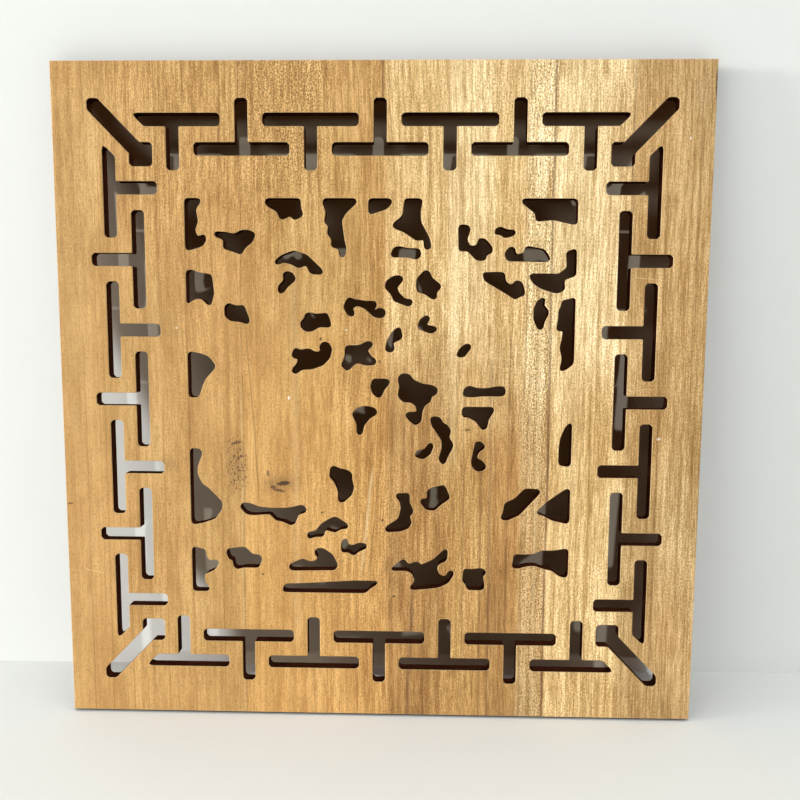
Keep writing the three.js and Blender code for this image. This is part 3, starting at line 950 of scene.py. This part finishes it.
PALE_LINES = (
    Line(-109, -260, 20, 1.0, 0.16), Line(-15, -142, -48, 1.6, 0.45, 0.11), Line(57, -60, 256, 6.0, 0.16),
    Line(123, -256, 256, 2.0, 0.3), Line(117, -256, 256, 1.2, 0.25), Line(150, -100, 256, 9.0, 0.14),
    Line(-66, -200, 120, 5.0, 0.12), Line(74, 20, 256, 2.2, 0.2),
)
DARK_SPOTS = (
    Spot(-113, -34, 5.0, 1.1, 0.75, 10), Spot(-109, -45, 3.2, 0.9, 0.7, 14),
    Spot(-76, -66, 6.5, 2.0, 0.95, 8), Spot(-84, -69, 2.6, 1.6), Spot(-80, -71.5, 6.0, 1.3, 0.8, -10),
    Spot(-88, -58, 1.3, 3.0, 0.7), Spot(-79, -66, 22, 11, 0.6, 8, -0.6),
    Spot(-113, -55, 15, 30, 0.4, 4, -0.4),
    Spot(69, -22, 3.0, 1.0, 0.7, 5), Spot(-46, 48, 1.2, 1.4), Spot(0, 31, 1.0, 1.2), Spot(2.5, -95, 1.2, 1.4),
    Spot(-45, -89, 1.2, 1.0), Spot(-93, -140, 1.3, 1.0), Spot(12, -157, 1.2, 1.2),
    Spot(250, 238, 1.6, 13, 0.85),
    Spot(-167, -52, 12, 9, 0.38, 20, -0.5), Spot(-148, -48, 1.4, 1.0, 0.5),
    Spot(-247, -84, 3.2, 0.8, 0.7, 10),
)
CHIPS = (
    Spot(-71, 2, 1.0, 1.6, 0.85), Spot(-20, 43, 1.8, 0.8, 0.8, 15), Spot(232, 199, 0.9, 1.4, 0.7),
    Spot(217, -28, 1.9, 1.3, 0.6, 20), Spot(-26, 55, 1.6, 0.7, 0.5), Spot(-158, 56, 1.1, 0.9, 0.6),
)
WORM_PATCH = Spot(-113, -52, 11, 30, 0.9, 4, 0.4)
SMUDGES = (
    Spot(-166, 70, 14, 46, 0.4, 0, -0.6), Spot(-158, 108, 18, 30, 0.3, 0, -0.6),
    Spot(-240, -10, 8, 70, 0.3, 0, -0.6), Spot(244, 235, 22, 50, 0.3, 0, -0.6),
)
SCRATCHES = (
    Spot(94, 33.5, 19, 0.45, 0.3, -7), Spot(98, 26, 18, 0.4, 0.26, -7), Spot(105, 40, 22, 0.4, 0.22, 14),
    Spot(-230, -139, 9, 0.5, 0.35, -12), Spot(-60, 215, 0.5, 16, 0.3, 12), Spot(205, 95, 16, 0.4, 0.35, -5),
    Spot(212, 150, 14, 0.4, 0.3, 4), Spot(170, -60, 15, 0.4, 0.3, -4), Spot(198, 10, 18, 0.35, 0.3, 3),
)


@dataclass(frozen=True)
class BareWood:
    """The bare sanded back: glued boards with their grain, lines, marks and smudges."""

    roughness: float = 0.52
    lift: float = 0.00012
    warmth: Color = paint(212, 156, 88)
    pores: Color = paint(118, 78, 36)
    pale: Color = paint(246, 222, 172)
    dark: Color = paint(112, 72, 38)
    grime: Color = paint(120, 102, 80)
    scratched: Color = paint(250, 226, 176)
    eaten: Color = paint(66, 38, 18)
    chipped: Color = paint(248, 240, 224)
    # a painted highlight: the paler rim along the cut edges of the back
    arris: Color = paint(232, 202, 150)
    line_edge: float = 0.15
    line_fade: float = 16.0
    line_reach: float = 250.0

    def scale(self, tones: list[Tone], width: float) -> list[tuple[float, Color]]:
        """Set the boards' tones side by side.

        Args:
            tones: one tone for each board.
            width: the panel's width in millimetres.

        Returns:
            Pairs of a place, from 0 at the left rim to 1 at the right, and a colour.
        """
        stops = []
        for board, tone in zip(BOARDS, tones):
            ends = (board.left + board.soft, board.right - board.soft)
            stops += [(end / width + 0.5, paint(*tone.value)) for end in ends]
        return stops

    def line(self, wood: Surface, u: Socket, line: Line) -> Socket:
        """Draw one line along the grain.

        Args:
            wood: where the finish is made.
            u: the place across, swung as the grain is.
            line: the line.

        Returns:
            Its mask.
        """
        bench, v = wood.bench, wood.v
        middle = line.u
        if line.lean:
            middle = bench.work("MULTIPLY_ADD", v, line.lean, line.u - line.lean * line.low)
        away = bench.work("ABSOLUTE", bench.work("SUBTRACT", u, middle))
        mask = bench.ease(away, line.width, line.width * self.line_edge, 0.0, line.strength)
        if line.low > -self.line_reach:
            mask = bench.work("MULTIPLY", mask, bench.ease(v, line.low, line.low + self.line_fade))
        if line.high < self.line_reach:
            mask = bench.work("MULTIPLY", mask, bench.ease(v, line.high, line.high - self.line_fade))
        return mask

    def spot(self, bench: Bench, place: Socket, spot: Spot) -> Socket:
        """Draw one blot.

        Args:
            bench: where the finish is made.
            place: the place on the back, as u and v, a little shaken.
            spot: the blot.

        Returns:
            Its mask.
        """
        mapping = bench.put("ShaderNodeMapping", vector_type="TEXTURE")
        bench.join(place, mapping.inputs["Vector"])
        mapping.inputs["Location"].default_value = (spot.u, spot.v, 0)
        mapping.inputs["Rotation"].default_value = (0, 0, math.radians(spot.turn))
        mapping.inputs["Scale"].default_value = (spot.across, spot.upright, 1)
        length = bench.put("ShaderNodeVectorMath", operation="LENGTH")
        bench.join(mapping.outputs[0], length.inputs[0])
        return bench.ease(length.outputs["Value"], 1.15, spot.core, 0.0, spot.strength)

    def shaken(self, wood: Surface) -> Socket:
        """Join u and v into one place whose blots come out ragged.

        Args:
            wood: where the finish is made.

        Returns:
            The place, as u and v in millimetres.
        """
        bench = wood.bench
        shake = bench.put("ShaderNodeTexNoise")
        shake.inputs["Scale"].default_value = 420
        shake.inputs["Detail"].default_value = 1.0
        bench.join(wood.place, shake.inputs["Vector"])
        centred = bench.put("ShaderNodeVectorMath", operation="SUBTRACT")
        bench.join(shake.outputs["Color"], centred.inputs[0])
        centred.inputs[1].default_value = (0.5, 0.5, 0.5)
        grown = bench.put("ShaderNodeVectorMath", operation="SCALE")
        bench.join(centred.outputs[0], grown.inputs[0])
        grown.inputs["Scale"].default_value = 1.6
        joined = bench.put("ShaderNodeCombineXYZ")
        bench.join(wood.u, joined.inputs[0])
        bench.join(wood.v, joined.inputs[1])
        total = bench.put("ShaderNodeVectorMath", operation="ADD")
        bench.join(joined.outputs[0], total.inputs[0])
        bench.join(grown.outputs[0], total.inputs[1])
        flat = bench.put("ShaderNodeVectorMath", operation="MULTIPLY")
        bench.join(total.outputs[0], flat.inputs[0])
        flat.inputs[1].default_value = (1, 1, 0)
        return flat.outputs[0]

    def boards(self, wood: Surface, cloud: Socket) -> Socket:
        """Colour the glued boards, whose tones pass raggedly from those below to those at the top; where the
        middle boards grow paler towards the top, that is partly the wood and partly a painted sheen.

        Args:
            wood: where the finish is made.
            cloud: the broad pattern that the passage follows.

        Returns:
            The colour.
        """
        bench = wood.bench
        width = float(2 * wood.layout.half[0])
        across = bench.work("MULTIPLY_ADD", wood.u, 1 / width, 0.5)
        height = bench.work("MULTIPLY_ADD", cloud, 220.0, bench.work("SUBTRACT", wood.v, 110.0))
        lower = bench.ramp(across, self.scale([board.lower for board in BOARDS], width))
        upper = bench.ramp(across, self.scale([board.upper for board in BOARDS], width))
        # paler towards the top: on the middle boards partly a painted sheen
        color = bench.mix(bench.ease(height, -60.0, 100.0), lower, upper)
        warm = bench.ease(bench.noise(wood.place, (12, 12, 5), 2.0, 0.5, (9, 1, 3)), 0.35, 0.7)
        return bench.mix(bench.work("MULTIPLY", warm, 0.32), color, self.warmth)

    def coarse(self, wood: Surface) -> Socket:
        """Find the two strips of coarse grain: one at the top left, one between two seams.

        Args:
            wood: where the finish is made.

        Returns:
            Their mask.
        """
        bench, u = wood.bench, wood.u
        flecked = bench.work("MULTIPLY", bench.ease(u, -120, -90), bench.ease(u, -30, -55))
        flecked = bench.work("MULTIPLY", flecked, bench.ease(wood.v, 150, 200))
        speckled = bench.work("MULTIPLY", bench.ease(u, 110, 116), bench.ease(u, 134, 130))
        return bench.work("MAXIMUM", flecked, speckled)

    def calm(self, wood: Surface) -> Socket:
        """Find how lively the grain is: quieter at the left rim and at the lower left.

        Args:
            wood: where the finish is made.

        Returns:
            A share, 1 where the grain shows in full.
        """
        bench, u = wood.bench, wood.u
        left = bench.ease(u, -90, 20, 0.5, 1.0)
        low = bench.ease(wood.v, 60, 180, 0.5, 1.0)
        return bench.work("MULTIPLY", bench.ease(u, -225, -185, 0.6, 1.0), bench.work("MAXIMUM", left, low))

    def shade(self, wood: Surface, cloud: Socket, mottle: Socket, coarse: Socket) -> Socket:
        """Work out how light or dark the grain makes the wood.

        Args:
            wood: where the finish is made.
            cloud: the broad pattern.
            mottle: the pattern of a hand's breadth.
            coarse: the mask of the coarse strips.

        Returns:
            A colour that the boards' own is multiplied by.
        """
        bench, grain = wood.bench, wood.grain
        light = bench.ease(mottle, 0.36, 0.64, 0.86, 1.11)
        light = bench.work("MULTIPLY", light, bench.ease(grain["Streak"], 0.36, 0.64, 0.93, 1.06))
        calm = self.calm(wood)
        threads = bench.work("MULTIPLY", bench.ease(grain["Fibre"], 0.36, 0.64, -0.46, 0.37), calm)
        light = bench.work("MULTIPLY", light, bench.work("ADD", threads, 1.0))
        patchy = bench.work("MULTIPLY_ADD", coarse, 0.5, bench.ease(cloud, 0.35, 0.62, 0.34, 0.62))
        patchy = bench.work("MULTIPLY", patchy, calm)
        grit = bench.work("MULTIPLY", bench.ease(grain["Sand"], 0.3, 0.7, -0.62, 0.5), patchy)
        light = bench.work("MULTIPLY", light, bench.work("ADD", grit, 1.0))
        rings = bench.noise(wood.place, (330, 330, 1.4), 1.5, 0.5, (7, 7, 3))
        light = bench.work("MULTIPLY", light, bench.ease(rings, 0.58, 0.72, 1.02, 0.78))
        shade = bench.put("ShaderNodeCombineColor")
        for target, strength in zip(shade.inputs, (0.75, 1.0, 1.5)):
            bench.join(bench.work("POWER", light, strength), target)
        return shade.outputs[0]

    def lined(self, wood: Surface, color: Socket) -> Socket:
        """Draw the pale and the dark lines along the grain.

        Args:
            wood: where the finish is made.
            color: the colour below.

        Returns:
            The colour with the lines on it.
        """
        bench = wood.bench
        swing = bench.noise(wood.place, (20, 20, 9), 2.0, 0.5, (6, 6, 1))
        swung = bench.work("MULTIPLY_ADD", swing, 4.0, bench.work("SUBTRACT", wood.u, 2.0))
        pale = bench.most([self.line(wood, swung, line) for line in PALE_LINES])
        color = bench.mix(pale, color, self.pale)
        dark = bench.most([self.line(wood, swung, line) for line in DARK_LINES])
        broken = bench.ease(wood.grain["Fibre"], 0.3, 0.6, 1.5, 0.9)
        return bench.mix(bench.work("MULTIPLY", dark, broken), color, self.dark)

    def marked(self, wood: Surface, mottle: Socket, color: Socket) -> tuple[Socket, Socket]:
        """Put on the smudges, scratches, knot, worm marks and chips.

        Args:
            wood: where the finish is made.
            mottle: the pattern that breaks up the smudges.
            color: the colour below.

        Returns:
            The colour with them on it, and the mask of the smudges.
        """
        bench, shaken = wood.bench, self.shaken(wood)
        smudge = bench.most([self.spot(bench, shaken, spot) for spot in SMUDGES])
        smudge = bench.work("MULTIPLY", smudge, bench.ease(mottle, 0.38, 0.6))
        color = bench.mix(smudge, color, self.grime)
        scratches = bench.most([self.spot(bench, shaken, spot) for spot in SCRATCHES])
        color = bench.mix(scratches, color, self.scratched)
        worms = bench.ease(bench.noise(wood.place, (640, 640, 420), 1.0, 0.5, (7, 2, 3)), 0.57, 0.62)
        worms = bench.work("MULTIPLY", worms, self.spot(bench, shaken, WORM_PATCH))
        marks = bench.most([worms] + [self.spot(bench, shaken, spot) for spot in DARK_SPOTS])
        color = bench.mix(marks, color, self.eaten)
        chips = bench.most([self.spot(bench, shaken, spot) for spot in CHIPS])
        return bench.mix(chips, color, self.chipped), smudge

    def make(self, layout: Layout, fibres: bpy.types.NodeTree) -> bpy.types.Material:
        """Make the finish.

        Args:
            layout: where the boards lie.
            fibres: the grain of the wood.

        Returns:
            The material.
        """
        material, bench, shader = blank("bare_wood")
        wood = Surface(bench, layout, fibres)
        cloud = bench.noise(wood.place, (16, 16, 7), 2.0, 0.6, (4, 4, 4))
        mottle = bench.noise(wood.place, (34, 34, 13), 3.0, 0.65, (2, 7, 5))
        coarse = self.coarse(wood)
        shade = self.shade(wood, cloud, mottle, coarse)
        color = bench.mix(1.0, self.boards(wood, cloud), shade, "MULTIPLY")
        dense = bench.work("MULTIPLY_ADD", coarse, 0.35, 0.3)
        color = bench.mix(bench.work("MULTIPLY", wood.grain["Pore"], dense), color, self.pores)
        color = self.lined(wood, color)
        color, smudge = self.marked(wood, mottle, color)
        # the back arris painted paler: a painted highlight along the cut edges
        edge = bench.ease(wood.axes[1], -0.00008, -0.0003)
        color = bench.mix(bench.work("MULTIPLY", edge, 0.6), color, self.arris)
        bench.join(color, shader.inputs["Base Color"])
        rough = bench.work("MULTIPLY_ADD", wood.grain["Fibre"], 0.22, self.roughness - 0.11)
        rough = bench.work("SUBTRACT", rough, bench.work("MULTIPLY", smudge, 0.2))
        bench.join(rough, shader.inputs["Roughness"])
        bench.join(bench.bump(wood.grain["Height"], self.lift), shader.inputs["Normal"])
        return material


@dataclass(frozen=True)
class StainedWood:
    """Dark stain on the carved side, the panel's sides and the walls of the cuts."""

    name: str
    deep: Color
    worn: Color
    roughness: float
    wear: float
    gloss: float = 0.4
    lift: float = 0.0002
    pores: Color = (0.01, 0.005, 0.003)

    def make(self, layout: Layout, fibres: bpy.types.NodeTree) -> bpy.types.Material:
        """Make the finish.

        Args:
            layout: how deep the ground and the rim lie.
            fibres: the grain of the wood.

        Returns:
            The material.
        """
        material, bench, shader = blank(self.name)
        wood = Surface(bench, layout, fibres)
        shader.inputs["Specular IOR Level"].default_value = self.gloss
        height = bench.ease(wood.axes[1], -layout.ground * MM, -0.0165, 0.12, 1.0)
        rub = bench.noise(wood.place, (60, 60, 30), 3.0, 0.6)
        height = bench.work("MULTIPLY", height, bench.ease(rub, 0.3, 0.75, 0.25, 1.0))
        color = bench.mix(bench.work("MULTIPLY", height, self.wear), self.deep, self.worn)
        light = bench.work("MULTIPLY", bench.ease(wood.grain["Fibre"], 0.32, 0.68, 0.75, 1.2),
                           bench.ease(wood.grain["Streak"], 0.3, 0.7, 0.8, 1.15))
        shade = bench.put("ShaderNodeCombineColor")
        for target in shade.inputs:
            bench.join(light, target)
        color = bench.mix(1.0, color, shade.outputs[0], "MULTIPLY")
        color = bench.mix(bench.work("MULTIPLY", wood.grain["Pore"], 0.35), color, self.pores)
        bench.join(color, shader.inputs["Base Color"])
        bench.join(bench.work("MULTIPLY_ADD", rub, 0.2, self.roughness - 0.1), shader.inputs["Roughness"])
        bench.join(bench.bump(wood.grain["Height"], self.lift), shader.inputs["Normal"])
        return material


@dataclass
class Studio:
    """Floor, wall, lights and camera round the panel."""

    layout: Layout
    wall_gap: float = 0.0005
    wall_foot: float = 0.072
    camera_place: tuple[float, float, float] = (-0.02995, 0.59113, -0.18094)
    camera_turn: tuple[float, float, float] = (84.1586, -0.3069, -178.6109)
    lens: float = 34.33

    def one_sided(self, name: str, color: tuple[float, float, float]) -> bpy.types.Material:
        """Make a matt surface that shows from its front alone.

        Args:
            name: the material's name.
            color: its linear colour.

        Returns:
            The material.
        """
        material = plain(name, color, 0.9)
        bench = Bench(material.node_tree)
        mix = bench.put("ShaderNodeMixShader")
        bench.join(bench.put("ShaderNodeNewGeometry").outputs["Backfacing"], mix.inputs[0])
        bench.join(bench.tree.nodes["Principled BSDF"].outputs[0], mix.inputs[1])
        bench.join(bench.put("ShaderNodeBsdfTransparent").outputs[0], mix.inputs[2])
        bench.join(mix.outputs[0], bench.tree.nodes["Material Output"].inputs["Surface"])
        return material

    def gap(self, bench: Bench) -> tuple[Socket, Socket, Socket]:
        """Find where on the wall a point lies, and how far daylight has gone in from the lower left.

        Args:
            bench: where the finish is made.

        Returns:
            The place across, the distance below the panel's top, and a mask that is 0 in daylight.
        """
        axes = bench.put("ShaderNodeSeparateXYZ")
        bench.join(bench.put("ShaderNodeTexCoord").outputs["Object"], axes.inputs[0])
        u = bench.work("MULTIPLY", axes.outputs[0], -1 / MM)
        down = bench.work("MULTIPLY_ADD", axes.outputs[2], -1 / MM, self.layout.high.z)
        left = bench.work("SUBTRACT", u, bench.ease(down, 130, 330, -250, -190))
        left = bench.work("SUBTRACT", left, bench.ease(down, 390, 470, 0, 48))
        return u, down, bench.ease(left, -12, 14)

    def shaded(self, material: bpy.types.Material) -> bpy.types.Material:
        """Paint the panel's shadow on the wall where it lies close behind the panel, less towards its lower
        left where painted daylight reaches in.

        Args:
            material: the wall's finish, which is changed.

        Returns:
            The same finish.
        """
        bench = Bench(material.node_tree)
        shader = bench.tree.nodes["Principled BSDF"]
        height = self.layout.high.z - self.layout.low.z
        u, down, inside = self.gap(bench)
        mask = bench.work("MULTIPLY", inside, bench.ease(u, 252, 226))
        mask = bench.work("MULTIPLY", mask, bench.ease(down, 0, 14))
        mask = bench.work("MULTIPLY", mask, bench.ease(down, height + 22, height - 4))
        middle = bench.work("MULTIPLY", bench.ease(u, -200, -160), bench.ease(u, 200, 160))
        # painted shadow of the panel: brown as painted bounce light off its stained front, deepest in the
        # middle
        close = bench.mix(middle, (0.56, 0.48, 0.39), (0.47, 0.4, 0.31))
        color = bench.mix(mask, (0.85, 0.86, 0.85), close)
        bench.join(color, shader.inputs["Base Color"])
        return material

    def card(self) -> None:
        """Stand an unseen near-black sheet before the wall as painted shade in the gap behind the panel; the
        wall there takes its bounce light from the sheet's emission alone, a painted bounce light of dim brown
        that grows brighter towards the lower left as painted daylight.
        """
        low, high = self.layout.low * MM, self.layout.high * MM
        top = Vector((0, low.y - self.wall_gap / 2, high.z))
        lean = math.atan2(self.wall_foot, high.z - low.z)
        down = Matrix.Translation((0, (low.z - high.z) / 2, 0))
        place = Matrix.Translation(top) @ Matrix.Rotation(math.pi / 2 - lean, 4, "X") @ down
        # near-black: painted shade in the gap behind the panel
        finish = self.one_sided("painted_light_card_finish", (0.004, 0.003, 0.002))
        bench = Bench(finish.node_tree)
        shader = bench.tree.nodes["Principled BSDF"]
        # painted bounce light: a dim brown emission, brighter towards the lower left as painted daylight
        painted_bounce_light = bench.mix(self.gap(bench)[2], (0.34, 0.32, 0.29), (0.04, 0.019, 0.008))
        bench.join(painted_bounce_light, shader.inputs["Emission Color"])
        shader.inputs["Emission Strength"].default_value = 1
        self.sheet("painted_light_card", 0.25, place, finish)
        card = bpy.data.objects["painted_light_card"]
        card.visible_camera = card.visible_shadow = card.visible_glossy = False

    def sheet(self, name: str, size: float, matrix: Matrix, material: bpy.types.Material) -> None:
        """Add a flat square sheet to the stage.

        Args:
            name: the sheet's name.
            size: half its side in metres.
            matrix: where it lies.
            material: its finish.
        """
        bm = bmesh.new()
        bmesh.ops.create_grid(bm, x_segments=1, y_segments=1, size=size, matrix=matrix)
        mesh = bpy.data.meshes.new(name)
        bm.to_mesh(mesh)
        bm.free()
        mesh.materials.append(material)
        sheet = bpy.data.objects.new(name, mesh)
        bpy.context.scene.collection.objects.link(sheet)

    def room(self) -> None:
        """Make the floor under the panel and the wall that its top edge leans towards."""
        low, high = self.layout.low * MM, self.layout.high * MM
        floor = Matrix.Translation((0, 0, low.z - 0.0022))
        self.sheet("floor", 4, floor, self.one_sided("floor_white", (0.7, 0.705, 0.69)))
        top = Vector((0, low.y - self.wall_gap, high.z))
        lean = math.atan2(self.wall_foot, high.z - low.z)
        wall = Matrix.Translation(top) @ Matrix.Rotation(-lean - math.pi / 2, 4, "X")
        self.card()
        self.sheet("wall", 4, wall, self.shaded(self.one_sided("wall_white_painted_shadow", (0.75, 0.76, 0.75))))

    def lamp(self, name: str, place: tuple[float, float, float], target: tuple[float, float, float],
             size: float, power: float, color: tuple[float, float, float] = (1, 1, 1)) -> bpy.types.Object:
        """Add a square soft light.

        Args:
            name: the light's name.
            place: where it stands, in metres.
            target: the point that it faces.
            size: its side in metres.
            power: its power in watts.
            color: its colour.

        Returns:
            The light's object.
        """
        data = bpy.data.lights.new(name, "AREA")
        data.size = size
        data.energy = power
        data.color = color
        lamp = bpy.data.objects.new(name, data)
        lamp.location = place
        lamp.rotation_euler = (Vector(target) - Vector(place)).to_track_quat("-Z", "Y").to_euler()
        bpy.context.scene.collection.objects.link(lamp)
        return lamp

    def lights(self, panel: bpy.types.Object) -> None:
        """Light the back from its left and above, and the carved side by lamps of its own.

        Args:
            panel: the panel, which the lamps of the carved side light alone.
        """
        middle = (0, 0, self.layout.middle_height * MM)
        self.lamp("skylight", (-0.8, 6.0, 5.45), middle, 0.2, 262, (0.94, 0.99, 0.98))
        self.lamp("window", (4.2, 4.1, 0.4), middle, 4.2, 160, (1, 0.97, 0.91))
        self.lamp("side_window", (6.0, 1.7, 0.3), middle, 1.0, 235, (1, 0.98, 0.94))
        self.lamp("far_window", (-2.2, 1.9, 0.9), middle, 1.6, 2, (0.97, 0.99, 1))
        overhead = self.lamp("overhead", (0, 0.3, 0.7), (0, 0.3, -0.5), 0.8, 9, (1, 1, 1))
        below = bpy.data.collections.new("below")
        below.objects.link(bpy.data.objects["floor"])
        overhead.light_linking.receiver_collection = below
        only = bpy.data.collections.new("carved_side")
        only.objects.link(panel)
        for lamp in (
            self.lamp("front_key", (-1.1, -1.2, 0.7), middle, 0.8, 38, (1, 0.98, 0.95)),
            self.lamp("front_fill", (1.3, -1.4, 0.0), middle, 1.6, 13, (0.93, 0.97, 1)),
        ):
            lamp.light_linking.receiver_collection = only
            lamp.light_linking.blocker_collection = only

    def sky(self) -> None:
        """Fill the room with a little even light, behind a pale backdrop."""
        world = bpy.data.worlds.new("studio")
        bpy.context.scene.world = world
        world.use_nodes = True
        bench = Bench(world.node_tree)
        background = world.node_tree.nodes["Background"]
        background.inputs["Color"].default_value = (0.95, 0.97, 1, 1)
        seen = bench.put("ShaderNodeLightPath").outputs["Is Camera Ray"]
        bench.join(bench.work("MULTIPLY_ADD", seen, 0.7, 0.07), background.inputs["Strength"])

    def camera(self) -> None:
        """Stand the camera where the photograph was taken from."""
        data = bpy.data.cameras.new("camera")
        data.lens = self.lens
        data.sensor_width = 36
        camera = bpy.data.objects.new("camera", data)
        camera.location = self.camera_place
        camera.rotation_euler = [math.radians(a) for a in self.camera_turn]
        bpy.context.scene.collection.objects.link(camera)
        bpy.context.scene.camera = camera


def main() -> None:
    """Build the panel, then its surroundings."""
    logging.basicConfig(level=logging.INFO, format="%(message)s")
    bpy.context.scene.view_settings.view_transform = "Standard"
    layout = Layout()
    fibres = fibre_group()
    finishes = (
        BareWood().make(layout, fibres),
        StainedWood("cut_wall", paint(46, 21, 11), paint(84, 42, 20), 0.75, 0.3, 0.0).make(layout, fibres),
        StainedWood("stained_wood", paint(58, 30, 18), paint(146, 84, 44), 0.42, 0.9).make(layout, fibres),
    )
    panel = CarvedPanel(layout, finishes).build()
    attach(panel, "root")
    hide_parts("panel")
    studio = Studio(layout)
    studio.room()
    studio.lights(panel)
    studio.sky()
    studio.camera()


if __name__ == "__main__":
    main()
